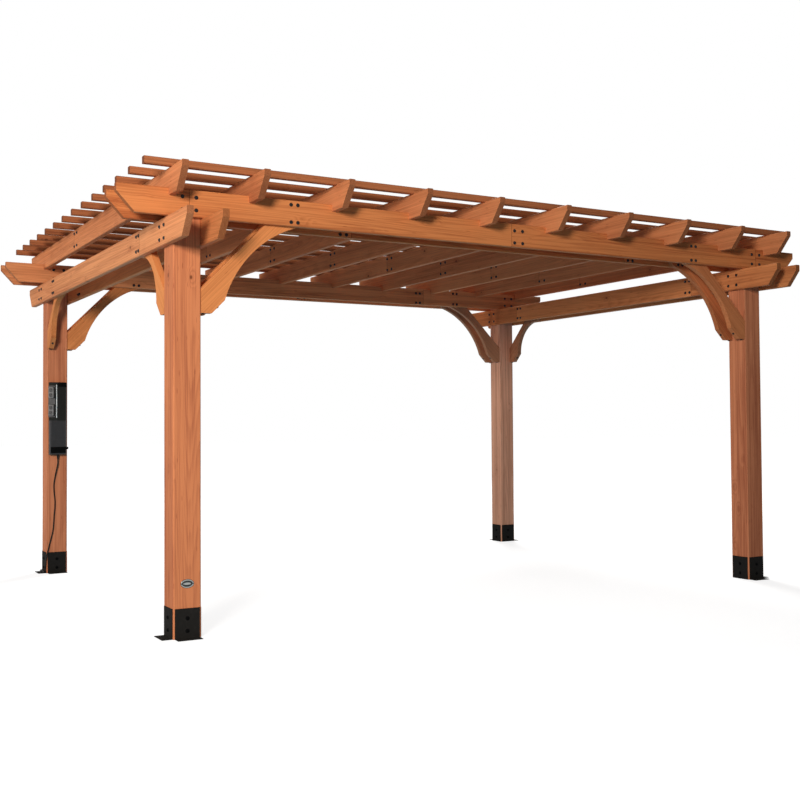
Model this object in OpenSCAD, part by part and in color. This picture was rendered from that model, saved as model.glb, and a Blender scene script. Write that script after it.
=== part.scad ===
// Four-post garden pergola of stained softwood.
// Paired beams and ties clamp the posts, notched rafters ride on the beams, slats lie across the rafters.
// Millimetres. +X runs along the long side, +Y to the back, +Z up. The origin is on the ground,
// midway between the four posts.

/* [Layout] */
// Distance between post centres along the long side
span_x = 4140; // [3600:10:4600]
// Distance between post centres along the short side
span_y = 2940; // [2600:10:3300]
// Height of the underside of the side ties above the ground
tie_z = 2026; // [1950:1:2300]

/* [Timber] */
// Width of a square post
post_w = 150; // [135:1:165]
// Rounding of the posts' long corners
post_round = 7.5; // [3:0.5:12]
// Thickness of every board
board_t = 36; // [32:1:44]
// Depth of the beam and tie boards
board_h = 140; // [125:1:160]
// Bevel along the long edges of boards and slats
board_ease = 3; // [1:0.5:5]

/* [Beams and ties] */
// Reach of the beams past the post centres
beam_reach = 380; // [300:1:450]
// Reach of the ties past the post centres
tie_reach = 392; // [300:1:450]
// Upright part of a beam's or tie's end
end_nose = 40; // [20:1:70]
// Length of the slanted cut under a beam's end
beam_run = 94; // [50:1:120]
// Length of the slanted cut under a tie's end
tie_run = 78; // [50:1:120]

/* [Splices] */
// Length of a half-lap splice
lap = 110; // [80:1:160]
// Open joint between spliced pieces
lap_gap = 0.4; // [0.2:0.1:0.8]
// Seam of the outer beams, left of the middle
outer_beam_seam = 30; // [0:1:120]
// Seams of the inner beams, each side of the middle
inner_beam_seam = 1140; // [900:5:1250]
// Seams of the ties, each side of the middle
tie_seam = 1075; // [800:5:1150]
// Seam of the rafters, behind the middle
rafter_seam = 410; // [200:5:600]

/* [Rafters] */
// Depth of a rafter
rafter_h = 140; // [120:1:170]
// Reach of the rafters past the post centres
rafter_reach = 322; // [280:1:400]
// Space from each end rafter to the next, centre to centre
rafter_end_gap = 440; // [380:1:500]
// How deep a rafter sits over the beams
rafter_seat = 38; // [20:1:60]
// Upright part of a rafter's end
rafter_nose = 32; // [20:1:50]
// Length of the slanted cut under a rafter's end
rafter_run = 88; // [40:1:110]
// Clearance on each side of a notch
notch_clear = 0.3; // [0.2:0.1:1]

/* [Slats] */
// Side of a square slat
slat_w = 38; // [30:1:45]
// Reach of the slats past the end rafters
slat_reach = 146; // [100:1:220]
// Distance between slats
slat_pitch = 250; // [220:1:258]
// How deep the slats are let into the rafters' top edges
slat_seat = 5; // [4:0.5:12]

/* [Braces] */
// Height of the braces' feet above the ground
brace_z = 1676; // [1500:1:1750]
// Flat width of a brace's foot
brace_foot = 60; // [40:1:80]
// Upright height of a brace's heel against the post
brace_heel = 128; // [100:1:150]
// Straight stretch, along X or Y, from the foot to the arch
brace_lug = 72; // [40:1:90]
// Height of a beam brace
beam_brace_rise = 623; // [560:1:640]
// Least width of a beam brace, at the crown of its arch
beam_brace_waist = 59; // [45:1:80]
// Height of a tie brace
tie_brace_rise = 485; // [440:1:488]
// Least width of a tie brace, at the crown of its arch
tie_brace_waist = 47; // [40:1:70]

/* [Post bases] */
// Height of the steel plates on the posts
base_h = 155; // [100:1:200]
// Thickness of the steel plates
base_t = 3; // [2:0.5:5]
// Reach of the foot flanges
base_flange = 56; // [45:1:80]
// Diameter of the anchor holes in the flanges
anchor_d = 11; // [8:0.5:14]
// Distance between the two anchor holes of a flange
anchor_gap = 70; // [50:1:80]

/* [Fittings] */
// Width of the oval plate on the front left post
badge_w = 72; // [50:1:90]
// Height of the oval plate
badge_h = 46; // [30:1:60]
// Thickness of the oval plate
badge_t = 2.5; // [1.5:0.5:4]
// Height of the oval plate's centre above the ground
badge_z = 280; // [200:1:400]
// Width of the power box
power_w = 118; // [100:1:125]
// Depth of the power box in front of the post
power_d = 58; // [50:1:80]
// Height of the power box's underside above the ground
power_z = 884; // [700:1:1000]
// Height of the lower case
case_h = 254; // [200:1:300]
// Height of the outlet housing above it
outlet_h = 286; // [220:1:320]

/* [Hidden] */
$fn = 48;

RAFTERS = 10;
SLATS = 14;
wood = "#c07a45";
steel = "#1c1c1e";

// Levels, from the ground up
beam_z = tie_z + board_h;
beam_top = beam_z + board_h;
rafter_z = beam_top - rafter_seat;
rafter_top = rafter_z + rafter_h;
slat_z = rafter_top - slat_seat;

// Distance from a post's centre to the far face of a board clamped on it
clamp = post_w / 2 + board_t;

// Rafters: the end ones stand over the outer ties, the others share the rest evenly
rafter_end_x = span_x / 2 + clamp - board_t / 2;
rafter_pitch = (2 * rafter_end_x - 2 * rafter_end_gap) / (RAFTERS - 3);
rafter_half = span_y / 2 + rafter_reach;
slat_y0 = -(SLATS - 1) / 2 * slat_pitch;
slat_half = rafter_end_x + board_t / 2 + slat_reach;

function rafter_x(i) =
  i == 1 ? -rafter_end_x :
  i == RAFTERS ? rafter_end_x :
  -rafter_end_x + rafter_end_gap + (i - 2) * rafter_pitch;

// Ends of a spliced piece in plan. A joint is [seam on the show face, seam on the back];
// side is -1 for the piece before the joint and 1 for the piece after it.
function seam_line(joint, side) =
  let (face = joint[0] + side * lap_gap / 2, back = joint[1] + side * lap_gap / 2)
  let (middle = board_t / 2 + side * sign(joint[0] - joint[1]) * lap_gap / 2)
  joint[0] == joint[1]
    ? [[face, 0], [face, board_t]]
    : [[face, 0], [face, middle], [back, middle], [back, board_t]];

function reversed(list) = [for (i = [len(list) - 1 : -1 : 0]) list[i]];

// Plan of piece i of a board that runs from -half to half
function piece_plan(i, joints, half) =
  let (start = i == 0 ? [[-half, 0], [-half, board_t]] : seam_line(joints[i - 1], 1))
  let (end = i == len(joints) ? [[half, 0], [half, board_t]] : seam_line(joints[i], -1))
  concat(end, reversed(start));

// Side view of a board with its two slanted ends
module end_cut_outline(half, h, nose, run) {
  polygon([
    [-half, h], [half, h], [half, h - nose],
    [half - run, 0], [-half + run, 0], [-half, h - nose]
  ]);
}

// Cross-section of a board with bevelled long edges
module eased_section(w, h) {
  e = board_ease;
  polygon([[e, 0], [w - e, 0], [w, e], [w, h - e], [w - e, h], [e, h], [0, h - e], [0, e]]);
}

// A stick of any section along X, from -half to half
module along_x(half) {
  translate([-half, 0, 0])
    rotate([90, 0, 90])
      linear_extrude(2 * half)
        children();
}

// A board along X with its show face at y = 0, cut into pieces at the joints.
// The child is its side view.
module spliced_board(half, h, joints) {
  for (i = [0 : len(joints)])
    intersection() {
      linear_extrude(h)
        polygon(piece_plan(i, joints, half));
      translate([0, board_t, 0])
        rotate([90, 0, 0])
          linear_extrude(board_t)
            children();
      along_x(half)
        eased_section(board_t, h);
    }
}

// Turns a board from along X to along Y: towards_x 1 shows its face to +X, -1 to -X
module along_y(towards_x) {
  if (towards_x > 0)
    rotate([0, 0, 90])
      children();
  else
    mirror([1, -1, 0])
      children();
}

module post(sx, sy) {
  flat = post_w / 2 - post_round;
  color(wood)
    translate([sx * span_x / 2, sy * span_y / 2, 0])
      linear_extrude(beam_top)
        union() {
          square([post_w, 2 * flat], center = true);
          square([2 * flat, post_w], center = true);
          for (x = [-flat, flat], y = [-flat, flat])
            translate([x, y])
              circle(post_round);
        }
}

// One steel plate against the +X face of a post that stands at the origin
module base_plate(flanged) {
  w = post_w - 2 * post_round - 2;
  translate([post_w / 2, -w / 2, 0])
    difference() {
      union() {
        cube([base_t, w, base_h]);
        if (flanged)
          cube([base_flange, w, base_t]);
      }
      if (flanged)
        for (s = [-1, 1])
          translate([(base_flange + base_t) / 2, w / 2 + s * anchor_gap / 2, -1])
            cylinder(d = anchor_d, h = base_t + 2);
    }
}

// Four plates round a post; flanges lists the angles of those with a foot flange
module post_base(sx, sy, flanges) {
  color(steel)
    translate([sx * span_x / 2, sy * span_y / 2, 0])
      for (a = [0, 90, 180, 270])
        rotate([0, 0, a])
          base_plate(len([for (f = flanges) if (f == a) f]) > 0);
}

// A beam: side is -1 at the front and 1 at the back, shows is the way its show face looks
module beam(side, shows, joints) {
  color(wood)
    translate([0, side * span_y / 2 + shows * clamp, beam_z])
      mirror([0, shows > 0 ? 1 : 0, 0])
        spliced_board(span_x / 2 + beam_reach, board_h, joints)
          end_cut_outline(span_x / 2 + beam_reach, board_h, end_nose, beam_run);
}

// An outer beam butts over each post and is half-lapped near the middle
module outer_beam(side) {
  post_x = span_x / 2;
  seam = -outer_beam_seam;
  beam(side, side, [[-post_x, -post_x], [seam, seam + lap], [post_x, post_x]]);
}

// An inner beam is half-lapped in two places, well clear of the outer beam's seams
module inner_beam(side) {
  seam = inner_beam_seam;
  beam(side, -side, [[-seam, -seam + lap], [seam, seam - lap]]);
}

// A tie: side is -1 on the left and 1 on the right, shows is the way its show face looks
module tie(side, shows) {
  half = span_y / 2 + tie_reach;
  seam = tie_seam;
  color(wood)
    translate([side * span_x / 2 + shows * clamp, 0, tie_z])
      along_y(shows)
        spliced_board(half, board_h, [[-seam, -seam + lap], [seam, seam - lap]])
          end_cut_outline(half, board_h, end_nose, tie_run);
}

// Side view of a rafter: slanted ends, seats over the four beams, shallow notches for the slats
module rafter_outline() {
  seat_w = board_t + 2 * notch_clear;
  notch_w = slat_w + 2 * notch_clear;
  difference() {
    end_cut_outline(rafter_half, rafter_h, rafter_nose, rafter_run);
    for (side = [-1, 1], face = [-1, 1])
      translate([side * span_y / 2 + face * (clamp - board_t / 2) - seat_w / 2, -1])
        square([seat_w, rafter_seat + 1]);
    for (i = [0 : SLATS - 1])
      translate([slat_y0 + i * slat_pitch - notch_w / 2, rafter_h - slat_seat])
        square([notch_w, slat_seat + 1]);
  }
}

module rafter(i) {
  color(wood)
    translate([rafter_x(i) - board_t / 2, 0, rafter_z])
      along_y(-1)
        spliced_board(rafter_half, rafter_h, [[rafter_seam, rafter_seam - lap]])
          rafter_outline();
}

// Slats first to last, lying in the rafters' shallow notches
module slats(first, last) {
  color(wood)
    for (i = [first : last])
      translate([0, slat_y0 + i * slat_pitch - slat_w / 2, slat_z])
        along_x(slat_half)
          eased_section(slat_w, slat_w);
}

// Side view of a brace that leans at 45 degrees away from a post face at x = 0.
// A circle through the ends of its lower edge hollows it out to the waist.
module brace_outline(rise, waist) {
  depth = (brace_heel + brace_foot) / sqrt(2);
  sag = depth - waist;
  half_chord = (rise - brace_foot - 2 * brace_lug) / sqrt(2);
  radius = (half_chord * half_chord + sag * sag) / (2 * sag);
  inset = (radius - sag) / sqrt(2);
  difference() {
    polygon([
      [0, 0], [brace_foot, 0], [rise, rise - brace_foot],
      [rise, rise], [rise - brace_heel, rise], [0, brace_heel]
    ]);
    translate([(rise + brace_foot) / 2 + inset, (rise - brace_foot) / 2 - inset])
      circle(radius, $fn = 96);
  }
}

// A brace that leans towards +X, between y = 0 and y = board_t
module brace(rise, waist) {
  translate([0, board_t, brace_z])
    rotate([90, 0, 0])
      linear_extrude(board_t)
        brace_outline(rise, waist);
}

// Two braces from a post to its beams, flush with the post's front and back faces
module beam_braces(sx, sy) {
  color(wood)
    translate([sx * (span_x / 2 - post_w / 2), sy * span_y / 2, 0])
      mirror([sx > 0 ? 1 : 0, 0, 0])
        for (y = [-post_w / 2, post_w / 2 - board_t])
          translate([0, y, 0])
            brace(beam_brace_rise, beam_brace_waist);
}

// One brace from a post to its outer tie, flush with the post's outer face
module tie_brace(sx, sy) {
  color(wood)
    translate([sx * (span_x / 2 + post_w / 2), sy * (span_y / 2 - post_w / 2), 0])
      mirror([0, sy > 0 ? 1 : 0, 0])
        along_y(sx)
          brace(tie_brace_rise, tie_brace_waist);
}

// Plain oval plate on the front of the front left post
module oval_plate() {
  color("silver")
    translate([-span_x / 2, -span_y / 2 - post_w / 2, badge_z])
      rotate([90, 0, 0])
        linear_extrude(badge_t)
          polygon([for (a = [0 : 7.5 : 352.5]) [badge_w / 2 * cos(a), badge_h / 2 * sin(a)]]);
}

// Power box on the front of the back left post: its left side is set slightly off the post's edge
power_x = -span_x / 2 - post_w / 2 + 12;
power_y = span_y / 2 - post_w / 2;
outlet_z = power_z + case_h;

// Plan of a box of the given depth with its front corners cut; left_cut is wide on the outlet side
module power_plan(depth, left_cut, left_depth, right_cut) {
  polygon([
    [0, 0], [0, -depth + left_depth], [left_cut, -depth],
    [power_w - right_cut, -depth], [power_w, -depth + right_cut], [power_w, 0]
  ]);
}

// Upper housing: the slanted left side carries two raised outlet frames
module outlet_housing() {
  slant = 50;
  slant_d = 36;
  face = sqrt(slant * slant + slant_d * slant_d);
  frame_w = 40;
  frame_h = 86;
  frame_t = 3;
  color(steel)
    translate([power_x, power_y, outlet_z]) {
      linear_extrude(outlet_h)
        power_plan(power_d, slant, slant_d, 8);
      for (k = [0, 1])
        translate([0, -power_d + slant_d, outlet_h * (0.27 + 0.46 * k)])
          rotate([0, 0, -atan2(slant_d, slant)])
            translate([face / 2 - frame_w / 2, -frame_t, -frame_h / 2])
              cube([frame_w, frame_t + 1, frame_h]);
    }
}

// Lower case with a small latch on its right side
module lower_case() {
  latch_d = 14;
  latch_out = 7;
  color(steel)
    translate([power_x, power_y, power_z]) {
      linear_extrude(case_h)
        power_plan(power_d - 4, 8, 8, 8);
      translate([power_w - 1, -power_d / 2, 44])
        rotate([0, 90, 0])
          cylinder(d = latch_d, h = latch_out + 1);
    }
}

// Supply cord: it leaves the lower case through a tapered gland
cord_d = 9;
gland_l = 36;
gland_x = power_x + 62;
gland_y = power_y - 28;

module cord_gland() {
  color(steel)
    translate([gland_x, gland_y, power_z - gland_l])
      cylinder(r1 = cord_d / 2 + 1, r2 = cord_d / 2 + 5, h = gland_l);
}

// The cord's route down the post, over the foot flange and round to the coil behind the post
foot_x = -span_x / 2 - post_w / 2;
cord_top = power_z - gland_l;
cord_low = cord_d / 2 + 0.5;
cord_over = base_t + cord_low;
CORD = [
  [gland_x, gland_y, cord_top],
  [gland_x, gland_y, cord_top - 30],
  [foot_x + 68, power_y - 24, cord_top * 0.92],
  [foot_x + 58, power_y - 15, cord_top * 0.85],
  [foot_x + 50, power_y - 10, cord_top * 0.78],
  [foot_x + 52, power_y - 9, cord_top * 0.71],
  [foot_x + 58, power_y - 9, cord_top * 0.64],
  [foot_x + 58, power_y - 9, cord_top * 0.58],
  [foot_x + 53, power_y - 9, cord_top * 0.51],
  [foot_x + 50, power_y - 9, cord_top * 0.45],
  [foot_x + 45, power_y - 10, cord_top * 0.38],
  [foot_x + 34, power_y - 11, cord_top * 0.32],
  [foot_x + 20, power_y - 12, cord_top * 0.26],
  [foot_x + 7, power_y - 14, cord_top * 0.2],
  [foot_x - 4, power_y - 16, cord_top * 0.14],
  [foot_x - 10, power_y - 16, 75],
  [foot_x - 13, power_y - 10, 40],
  [foot_x - 14, power_y + 7, 18],
  [foot_x - 13, power_y + 35, cord_over + 1],
  [foot_x - 12, power_y + 75, cord_over + 0.5],
  [foot_x - 12, power_y + post_w - 32, cord_over + 0.5],
  [foot_x - 12, power_y + post_w + 5, cord_low + 2],
  [foot_x - 8, power_y + post_w + 22, cord_low],
  [foot_x + 3.7, power_y + post_w + 36.7, cord_low],
  [foot_x + 21, power_y + post_w + 47.5, cord_low],
  [foot_x + 38.3, power_y + post_w + 58.3, cord_low],
  [foot_x + 50, power_y + post_w + 75, cord_low],
  [foot_x + 54, power_y + post_w + 95, cord_low]
];

// Points on a smooth curve through the route, steps to each stretch
CORD_STEPS = 3;
function route(i) = CORD[max(0, min(len(CORD) - 1, i))];
function curve(a, b, c, d, t) =
  0.5 * (2 * b + (c - a) * t + (2 * a - 5 * b + 4 * c - d) * t * t
    + (3 * b - a - 3 * c + d) * t * t * t);
CORD_LINE = [
  for (i = [0 : len(CORD) - 2], k = [0 : CORD_STEPS - 1])
    curve(route(i - 1), route(i), route(i + 1), route(i + 2), k / CORD_STEPS),
  CORD[len(CORD) - 1]
];

function unit(v) = v / norm(v);
function heading(line, i) = unit(line[min(len(line) - 1, i + 1)] - line[max(0, i - 1)]);
function ring(line, i, sides) =
  let (along = i == 0 ? [0, 0, -1] : heading(line, i))
  let (across = unit(cross(along, [0.6, 0.8, 0.05])), up = cross(across, along))
  [for (k = [0 : sides - 1])
    line[i] + cord_d / 2 * (across * cos(360 * k / sides) + up * sin(360 * k / sides))];

module tube(line, sides) {
  n = len(line);
  points = [for (i = [0 : n - 1]) each ring(line, i, sides)];
  walls = [for (i = [0 : n - 2], k = [0 : sides - 1])
    let (a = i * sides + k, b = i * sides + (k + 1) % sides)
    [a, b, b + sides, a + sides]];
  start = [for (k = [sides - 1 : -1 : 0]) k];
  end = [for (k = [0 : sides - 1]) (n - 1) * sides + k];
  polyhedron(points, concat(walls, [start, end]), convexity = 8);
}

module supply_cord() {
  color(steel)
    tube(CORD_LINE, 8);
}

// The spare length, wound in a flat coil on the ground behind the post
coil_r = 50;
coil_x = foot_x + 118;
coil_y = power_y + post_w + 95;
module cord_coil() {
  color(steel)
    translate([coil_x, coil_y, 0])
      rotate_extrude()
        translate([coil_r - cord_d, 0])
          square([2 * cord_d, 2 * cord_d]);
}

// Moulded plug lying on the ground against the coil, in line with the turn that leads to it:
// its strain relief just clears the coil's side
relief_r = cord_d / 2 + 1;
relief_clear = 0.3;
plug_x = coil_x - coil_r - cord_d / 2;
plug_y = coil_y + sqrt(pow(coil_r + cord_d, 2) - pow(coil_x - plug_x - relief_r, 2)) + relief_clear;
module cord_plug() {
  plug_w = 32;
  plug_l = 38;
  relief_l = 22;
  blade = [1.6, 16, 6.5];
  blade_gap = 12.7;
  color(steel)
    translate([plug_x, plug_y, 0]) {
      translate([0, 0, plug_w / 2])
        rotate([-90, 0, 0])
          cylinder(r1 = relief_r, r2 = plug_w / 2 - 4, h = relief_l);
      translate([-plug_w / 2, relief_l, 0])
        cube([plug_w, plug_l, plug_w]);
      for (s = [-1, 1])
        translate([s * blade_gap / 2 - blade[0] / 2, relief_l + plug_l - 1, plug_w / 2 - blade[2] / 2])
          cube([blade[0], blade[1] + 1, blade[2]]);
    }
}

module front_left_post() post(-1, -1);
module front_right_post() post(1, -1);
module back_left_post() post(-1, 1);
module back_right_post() post(1, 1);
module front_left_base() post_base(-1, -1, [180, 270]);
module front_right_base() post_base(1, -1, [0, 270]);
module back_left_base() post_base(-1, 1, [180, 270]);
module back_right_base() post_base(1, 1, [0, 90]);
module front_outer_beam() outer_beam(-1);
module front_inner_beam() inner_beam(-1);
module back_inner_beam() inner_beam(1);
module back_outer_beam() outer_beam(1);
module left_outer_tie() tie(-1, -1);
module left_inner_tie() tie(-1, 1);
module right_inner_tie() tie(1, -1);
module right_outer_tie() tie(1, 1);
module front_left_beam_braces() beam_braces(-1, -1);
module front_right_beam_braces() beam_braces(1, -1);
module back_left_beam_braces() beam_braces(-1, 1);
module back_right_beam_braces() beam_braces(1, 1);
module front_left_tie_brace() tie_brace(-1, -1);
module front_right_tie_brace() tie_brace(1, -1);
module back_left_tie_brace() tie_brace(-1, 1);
module back_right_tie_brace() tie_brace(1, 1);
module front_slats() slats(0, SLATS / 2 - 1);
module back_slats() slats(SLATS / 2, SLATS - 1);

front_left_post();
front_right_post();
back_left_post();
back_right_post();
front_left_base();
front_right_base();
back_left_base();
back_right_base();
front_outer_beam();
front_inner_beam();
back_inner_beam();
back_outer_beam();
left_outer_tie();
left_inner_tie();
right_inner_tie();
right_outer_tie();
front_left_beam_braces();
front_right_beam_braces();
back_left_beam_braces();
back_right_beam_braces();
front_left_tie_brace();
front_right_tie_brace();
back_left_tie_brace();
back_right_tie_brace();
for (i = [1 : RAFTERS])
  rafter(i);
front_slats();
back_slats();
oval_plate();
outlet_housing();
lower_case();
cord_gland();
supply_cord();
cord_coil();
cord_plug();
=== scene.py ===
"""Looks of a wooden garden pergola: stained timber, black steel, bolts, a power box and its lead.

Metres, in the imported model's frame: +X along the long side, +Y to the back, +Z up from the ground.
"""
import math

import bpy
import numpy as np
from mathutils import Matrix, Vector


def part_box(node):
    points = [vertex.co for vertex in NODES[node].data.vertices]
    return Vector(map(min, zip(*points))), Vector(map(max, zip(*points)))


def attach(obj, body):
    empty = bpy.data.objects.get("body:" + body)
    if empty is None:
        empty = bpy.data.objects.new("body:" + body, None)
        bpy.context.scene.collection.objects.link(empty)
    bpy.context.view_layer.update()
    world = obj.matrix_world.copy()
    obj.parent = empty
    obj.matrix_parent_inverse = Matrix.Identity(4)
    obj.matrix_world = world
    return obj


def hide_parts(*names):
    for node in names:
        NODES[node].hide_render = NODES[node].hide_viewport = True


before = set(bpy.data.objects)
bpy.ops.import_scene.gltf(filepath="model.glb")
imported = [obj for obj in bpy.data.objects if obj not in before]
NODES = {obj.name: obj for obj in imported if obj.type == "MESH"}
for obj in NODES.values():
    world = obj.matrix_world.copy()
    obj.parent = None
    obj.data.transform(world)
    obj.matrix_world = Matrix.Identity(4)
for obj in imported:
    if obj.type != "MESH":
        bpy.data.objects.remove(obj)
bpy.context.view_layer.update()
scene = bpy.context.scene


def centre(node, axis):
    """Middle of a node's box along one axis."""
    low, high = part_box(node)
    return (low[axis] + high[axis]) / 2


# Names of the corners, with the way that each lies from the middle
ENDS = (("front", -1), ("back", 1))
HANDS = (("left", -1), ("right", 1))

# Sizes of the frame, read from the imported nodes
POST_X = abs(centre("front_left_post", 0))
POST_Y = abs(centre("front_left_post", 1))
POST_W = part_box("front_left_post")[1].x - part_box("front_left_post")[0].x
BEAM_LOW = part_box("front_outer_beam")[0].z
TIE_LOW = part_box("left_outer_tie")[0].z
RAFTER_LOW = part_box("rafter_1")[0].z
BRACE_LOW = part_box("front_left_beam_braces")[0].z
BEAM_FACE = -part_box("front_outer_beam")[0].y
BEAM_BACK = -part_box("front_inner_beam")[1].y
TIE_FACE = -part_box("left_outer_tie")[0].x
TIE_BACK = -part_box("left_inner_tie")[1].x
BOARD_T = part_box("rafter_1")[1].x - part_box("rafter_1")[0].x
SLAT_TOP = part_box("front_slats")[1].z
SLAT_W = SLAT_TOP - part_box("front_slats")[0].z
SLAT_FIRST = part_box("front_slats")[0].y + SLAT_W / 2
SLAT_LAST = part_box("back_slats")[1].y - SLAT_W / 2
SLATS = 14
SLAT_PITCH = (SLAT_LAST - SLAT_FIRST) / (SLATS - 1)
RAFTERS = range(1, 11)
RAFTER_X = [centre(f"rafter_{i}", 0) for i in RAFTERS]

# Seams of the spliced boards: place along the board on the show face, and the shift of the
# seam on the back of the board
LAP = 0.110
OUTER_BEAM_SEAMS = [(-POST_X, 0.0), (-0.030, LAP), (POST_X, 0.0)]
INNER_BEAM_SEAMS = [(-1.140, LAP), (1.140, -LAP)]
TIE_SEAMS = [(-1.075, LAP), (1.075, -LAP)]
RAFTER_SEAMS = [(0.410, -LAP)]


def from_screen(red, green, blue):
    """Linear colour of a screen colour given in steps from 0 to 255."""
    c = np.array([red, green, blue]) / 255
    linear = np.where(c <= 0.04045, c / 12.92, ((c + 0.055) / 1.055) ** 2.4)
    return (*[float(v) for v in linear], 1.0)


def add_to_scene(name, data, x, y, z, at):
    """A camera or a lamp with its three axes and its place."""
    pose = np.eye(4)
    pose[:3] = np.stack([x, y, z, at], 1)
    thing = bpy.data.objects.new(name, data)
    thing.matrix_world = Matrix(pose.tolist())
    scene.collection.objects.link(thing)
    return thing


# Camera

CAMERA_AT = (-3.92643, -6.90836, 1.08027)
CAMERA_YAW = 0.50979
CAMERA_PITCH = 0.02945
CAMERA_ROLL = -0.00583
FOCAL_PX = 1084.62
CENTRE_PX = (380.61, 394.41)
IMAGE_PX = 800
SENSOR_MM = 36.0
SEES_TO = 200.0


def make_camera():
    """The camera looks along +Y turned by its yaw towards +X, lifted by its pitch, and rolled."""
    yaw, pitch, roll = CAMERA_YAW, CAMERA_PITCH, CAMERA_ROLL
    level_ahead = np.array([math.sin(yaw), math.cos(yaw), 0.0])
    ahead = math.cos(pitch) * level_ahead + [0.0, 0.0, math.sin(pitch)]
    level = np.array([math.cos(yaw), -math.sin(yaw), 0.0])
    upright = np.cross(level, ahead)
    right = math.cos(roll) * level + math.sin(roll) * upright
    up = math.cos(roll) * upright - math.sin(roll) * level
    data = bpy.data.cameras.new("camera")
    data.sensor_width = SENSOR_MM
    data.lens = FOCAL_PX / IMAGE_PX * SENSOR_MM
    data.shift_x = (IMAGE_PX / 2 - CENTRE_PX[0]) / IMAGE_PX
    data.shift_y = (CENTRE_PX[1] - IMAGE_PX / 2) / IMAGE_PX
    data.clip_end = SEES_TO
    scene.camera = add_to_scene("camera", data, right, up, -ahead, CAMERA_AT)


make_camera()


# Node trees

def new_finish(name):
    """An empty node material with its tree."""
    finish = bpy.data.materials.new(name)
    finish.use_nodes = True
    finish.node_tree.nodes.clear()
    return finish


def feed(tree, socket, value):
    """Sets a socket to a value, or links it where the value is a socket."""
    if isinstance(value, bpy.types.NodeSocket):
        tree.links.new(value, socket)
    else:
        socket.default_value = value


def put(tree, kind, sockets=None, **settings):
    """A node of that kind, with its sockets fed."""
    node = tree.nodes.new("ShaderNode" + kind)
    for key, value in settings.items():
        setattr(node, key, value)
    for key, value in (sockets or {}).items():
        feed(tree, node.inputs[key], value)
    return node


def calc(tree, operation, *values, clamp=False):
    """One step of arithmetic on sockets or numbers."""
    sockets = dict(enumerate(values))
    return put(tree, "Math", sockets, operation=operation, use_clamp=clamp).outputs[0]


def blend_colours(tree, share, first, second):
    """First colour at share 0, second at share 1.

    A Mix node takes its share at socket 0 and its colours at 6 and 7, and gives a colour at 2.
    """
    return put(tree, "Mix", {0: share, 6: first, 7: second}, data_type="RGBA").outputs[2]


def between(tree, value, low, high, to_low=0.0, to_high=1.0):
    """Value carried smoothly from the span low to high onto the span to_low to to_high."""
    return put(tree, "MapRange", {0: value, 1: low, 2: high, 3: to_low, 4: to_high},
               interpolation_type="SMOOTHSTEP").outputs[0]


def surface(finish, height, strength, depth, **sockets):
    """Principled surface with a bump of that height, wired to the output."""
    tree = finish.node_tree
    shader = put(tree, "BsdfPrincipled", {k.replace("_", " "): v for k, v in sockets.items()})
    bump = put(tree, "Bump", {"Strength": strength, "Distance": depth, "Height": height})
    tree.links.new(bump.outputs[0], shader.inputs["Normal"])
    put(tree, "OutputMaterial", {0: shader.outputs[0]})


# Timber

# Turns that bring the grain onto X
ALONG_X = (0.0, 0.0, 0.0)
ALONG_Y = (0.0, 0.0, -math.pi / 2)
ALONG_Z = (0.0, math.pi / 2, 0.0)
LEAN_RIGHT = (0.0, math.pi / 4, 0.0)
LEAN_LEFT = (0.0, 3 * math.pi / 4, 0.0)
LEAN_BACK = (-math.pi / 4, 0.0, -math.pi / 2)
LEAN_FRONT = (-3 * math.pi / 4, 0.0, -math.pi / 2)

# Noises: steps in a metre along and across the grain, layers of detail, and their roughness
RING_NOISE = (0.20, 5.0, 1.0)
WOBBLE_NOISE = (2.0, 55.0, 2.0)
FIBRE_NOISE = (5.0, 330.0, 3.0, 0.62)
BAND_NOISE = (1.1, 105.0, 2.0)
STREAK_NOISE = (0.6, 34.0, 2.0)
MOTTLE_NOISE = (0.9, 4.0, 2.0)
PORE_NOISE = (330.0, 330.0, 2.0)

# Cells: steps in a metre along and across the grain, and the share of them that show
KNOT_CELLS = (5.0, 8.0, 0.42)
FLECK_CELLS = (11.0, 85.0, 0.20)

# Spans, in parts of a cell, over which a mark comes in
KNOT_EDGE = (0.085, 0.040)
KNOT_REACH = (0.36, 0.05)
FLECK_EDGE = (0.24, 0.10)

# Growth rings: how many over the whole noise, and how far wobbles and knots move them
RINGS = 44.0
RING_WOBBLE = 0.8
KNOT_PUSH = 1.8
RING_START = 0.10
RING_PEAK = 0.80

# How much each pattern darkens the stain
BASE_TONE = 0.36
RING_TONE = 0.24
FIBRE_TONE = 1.0
BAND_TONE = 1.2
STREAK_TONE = 1.2
MOTTLE_TONE = 1.1
STICK_TONE = 0.22
FLECK_TONE = 0.55
KNOT_REACH_TONE = 0.20
KNOT_TONE = 0.80
SEAM_TONE = 0.75

# How square to the grain a face is where its end grain comes in, and that end grain's pores
END_GRAIN = (0.62, 0.78)
PORES = (0.36, 0.66, 0.58, 0.90)

# Shares of the dark tone that end grain and marks have
END_SHADE = 0.50
MARK_SHADE = 0.30

# Roughness over the span of the fibres, and the height of the rings beside theirs
TIMBER_ROUGHNESS = (0.25, 0.75, 0.56, 0.72)
RING_RELIEF = 0.35

# How far apart the draws of two sticks lie in the noises
DRAW_SHIFT = (31.0, 17.0, 23.0)


def darker(colour, share):
    """That share of a colour's light."""
    return tuple(share * v for v in colour[:3]) + (1.0,)


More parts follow.
